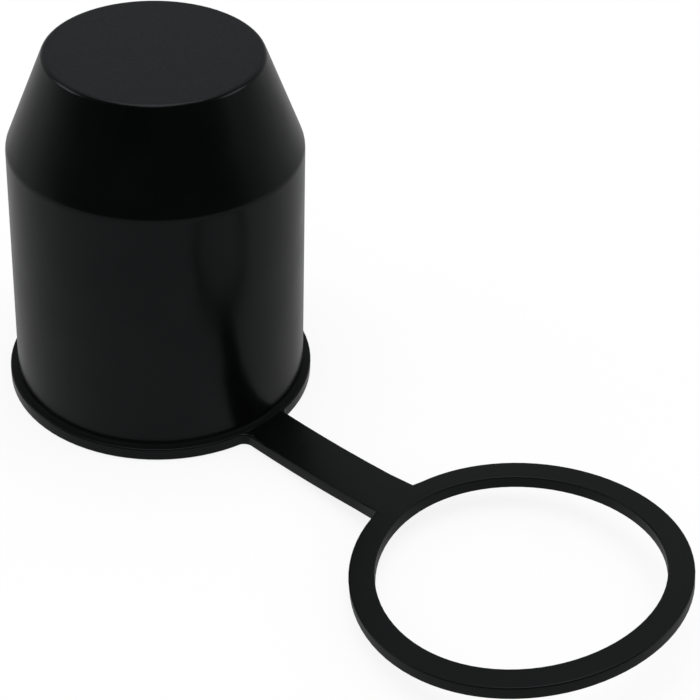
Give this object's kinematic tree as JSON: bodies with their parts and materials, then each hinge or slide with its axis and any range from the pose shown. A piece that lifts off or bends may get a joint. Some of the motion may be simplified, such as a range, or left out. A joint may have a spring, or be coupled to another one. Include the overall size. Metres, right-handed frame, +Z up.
{
  "type": "tow ball cover",
  "caption": "Soft black moulded cap with a tapered shoulder and a rim flange, tethered by a flat strap to a ring that sits on the neck of a tow ball.",
  "frame": {"origin": "on the cap's axis, in the plane of its mouth", "axes": "+Z up along the cap's axis towards its closed crown, +X from the cap along the strap to the neck ring"},
  "size_m": [0.149, 0.0584, 0.0691],
  "materials": {
    "cover": "satin moulded soft plastic with a fine matte grain on the crown"
  },
  "bodies": {
    "root": {"cover": "cover"}
  },
  "joints": []
}
